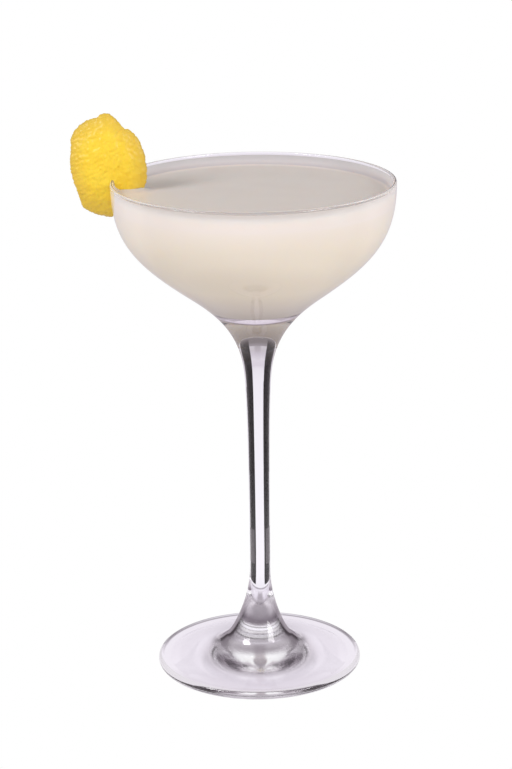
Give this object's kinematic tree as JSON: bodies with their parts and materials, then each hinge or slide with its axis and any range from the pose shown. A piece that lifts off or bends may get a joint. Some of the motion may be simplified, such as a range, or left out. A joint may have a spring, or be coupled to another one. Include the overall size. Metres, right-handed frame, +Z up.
{
  "type": "white sour cocktail in a coupe glass",
  "caption": "Cloudy white sour with a pale foam head in a stemmed coupe glass, with a slit disc of lemon peel on the rim.",
  "frame": {"origin": "on the surface the foot stands on, at the middle of the box around glass and peel; the glass's axis passes 6.85 mm to its +X side", "axes": "+Z up along the stem, -X towards the lemon peel on the rim, -Y towards the picture's camera"},
  "size_m": [0.1087, 0.095, 0.1942],
  "materials": {
    "clear_glass": "polished",
    "milky_sour": "cloudy liquid",
    "white_foam": "fine wet foam",
    "lemon_skin": "pored, slightly oily skin over white pith"
  },
  "bodies": {
    "root": {"coupe_glass": "clear_glass", "sour_drink": "milky_sour", "foam_head": "white_foam", "lemon_peel": "lemon_skin"}
  },
  "joints": []
}
